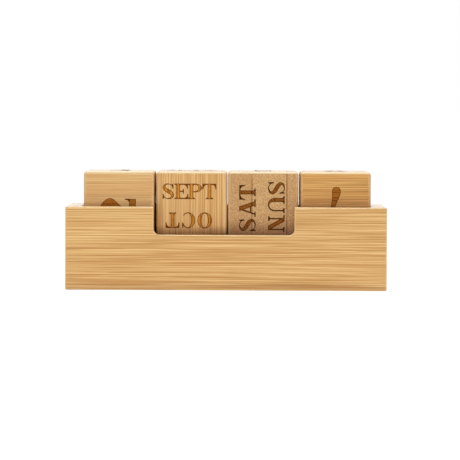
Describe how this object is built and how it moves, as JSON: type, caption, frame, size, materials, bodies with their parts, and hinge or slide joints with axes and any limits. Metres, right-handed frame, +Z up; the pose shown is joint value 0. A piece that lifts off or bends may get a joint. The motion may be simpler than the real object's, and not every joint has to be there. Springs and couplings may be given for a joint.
{
  "type": "perpetual desk calendar",
  "caption": "Bamboo perpetual desk calendar: number, month and weekday cubes stand in a row in a notched tray and lift out to be turned or swapped.",
  "frame": {"origin": "on the table under the middle of the holder", "axes": "+X along the row of cubes to the right, -Y out of the notched front, +Z up"},
  "size_m": [0.1724, 0.0548, 0.0636],
  "materials": {
    "holder_bamboo": "laminated bamboo, sanded, clear satin",
    "pale_cube_bamboo": "laminated bamboo, sanded, engraved and burnt lettering",
    "grey_cube_bamboo": "laminated bamboo with end grain to the front, engraved and burnt lettering",
    "orange_cube_bamboo": "laminated bamboo, sanded, engraved and burnt lettering"
  },
  "bodies": {
    "holder": {"front_board": "holder_bamboo", "back_board": "holder_bamboo", "left_end_board": "holder_bamboo", "right_end_board": "holder_bamboo", "base_board": "holder_bamboo"},
    "low_number": {"number_cube_low": "pale_cube_bamboo"},
    "month": {"month_cube": "pale_cube_bamboo"},
    "weekday": {"weekday_cube": "grey_cube_bamboo"},
    "high_number": {"number_cube_high": "orange_cube_bamboo"}
  },
  "joints": [
    {"name": "low_number_lift", "type": "slide", "parent": "holder", "child": "low_number", "axis": [0, 0, 1], "range_m": [0, 0.045]},
    {"name": "month_lift", "type": "slide", "parent": "holder", "child": "month", "axis": [0, 0, 1], "range_m": [0, 0.045]},
    {"name": "weekday_lift", "type": "slide", "parent": "holder", "child": "weekday", "axis": [0, 0, 1], "range_m": [0, 0.045]},
    {"name": "high_number_lift", "type": "slide", "parent": "holder", "child": "high_number", "axis": [0, 0, 1], "range_m": [0, 0.045]}
  ]
}
